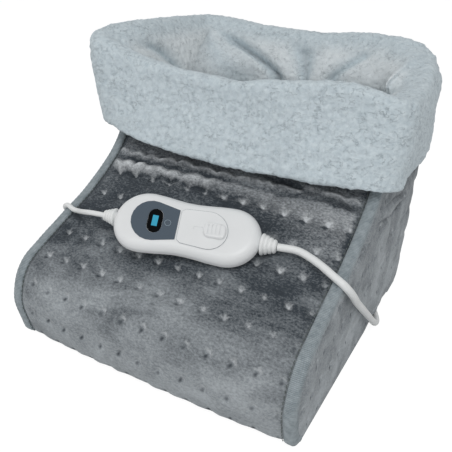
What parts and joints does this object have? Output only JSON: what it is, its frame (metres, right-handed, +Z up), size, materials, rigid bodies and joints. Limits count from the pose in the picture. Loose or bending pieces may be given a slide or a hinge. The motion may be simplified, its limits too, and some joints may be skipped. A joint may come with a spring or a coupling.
{
  "type": "electric foot warmer",
  "caption": "Boot-shaped heated foot warmer with a tufted cloth shell, a turned-down fleece collar, a corded hand controller with a display and slide switch, and a coiled mains cord with plug.",
  "frame": {"origin": "On the floor, under the middle of the boot with its collar and controller: the free cords, coil and plug aren't counted", "axes": "+Y from toe to heel, +Z up out of the shaft, +X to the right as the toe is looked at from in front"},
  "size_m": [0.3038, 0.443, 0.2639],
  "materials": {
    "flannel": "brushed flannel, matte",
    "binding": "woven bias tape, matte",
    "sherpa": "curly sherpa pile, matte",
    "felt": "non-woven felt, matte",
    "white_shell": "satin",
    "slate_film": "satin printed film",
    "black_lens": "polished",
    "white_cord": "soft PVC, satin",
    "wire_silicone": "matte",
    "board_green": "solder mask",
    "dark_plastic": "moulded",
    "fibreboard": "pressed fibreboard",
    "nickel": "nickel plated"
  },
  "bodies": {
    "foot_warmer": {"front_panel": "flannel", "left_gusset": "flannel", "right_gusset": "flannel", "left_binding": "binding", "right_binding": "binding", "back_panel": "flannel", "base_panel": "flannel", "heater_carrier": "felt", "heating_wire": "wire_silicone", "sole_cutout": "dark_plastic", "instep_cutout": "dark_plastic", "heel_board": "fibreboard", "terminal_block": "dark_plastic", "cord_inlet": "white_cord", "lining_front": "sherpa", "lining_sole": "sherpa", "lining_back": "sherpa", "lining_left": "sherpa", "lining_right": "sherpa", "sherpa_cuff": "sherpa", "controller_bottom_shell": "white_shell", "controller_top_shell": "white_shell", "display_overlay": "slate_film", "display_lens": "black_lens", "display_module": "dark_plastic", "switch_plate": "white_shell", "slide_switch": "dark_plastic", "circuit_board": "board_green", "film_capacitor": "dark_plastic", "fuse": "nickel", "thyristor": "dark_plastic", "controller_screw_1": "nickel", "controller_screw_2": "nickel", "controller_screw_3": "nickel", "controller_screw_4": "nickel", "left_cord_clamp": "dark_plastic", "right_cord_clamp": "dark_plastic", "left_relief": "white_cord", "right_relief": "white_cord", "pad_cord": "white_cord", "mains_coil": "white_cord", "mains_cord": "white_cord", "mains_tail": "white_cord", "coil_tie": "dark_plastic", "plug_body": "white_shell", "plug_pin_a": "nickel", "plug_pin_b": "nickel"},
    "thumb_knob": {"switch_knob": "white_shell"}
  },
  "joints": [
    {"name": "switch_slide", "type": "slide", "parent": "foot_warmer", "child": "thumb_knob", "axis": [-0.9795, -0.2012, 0.0004], "range_m": [0, 0.011]}
  ]
}
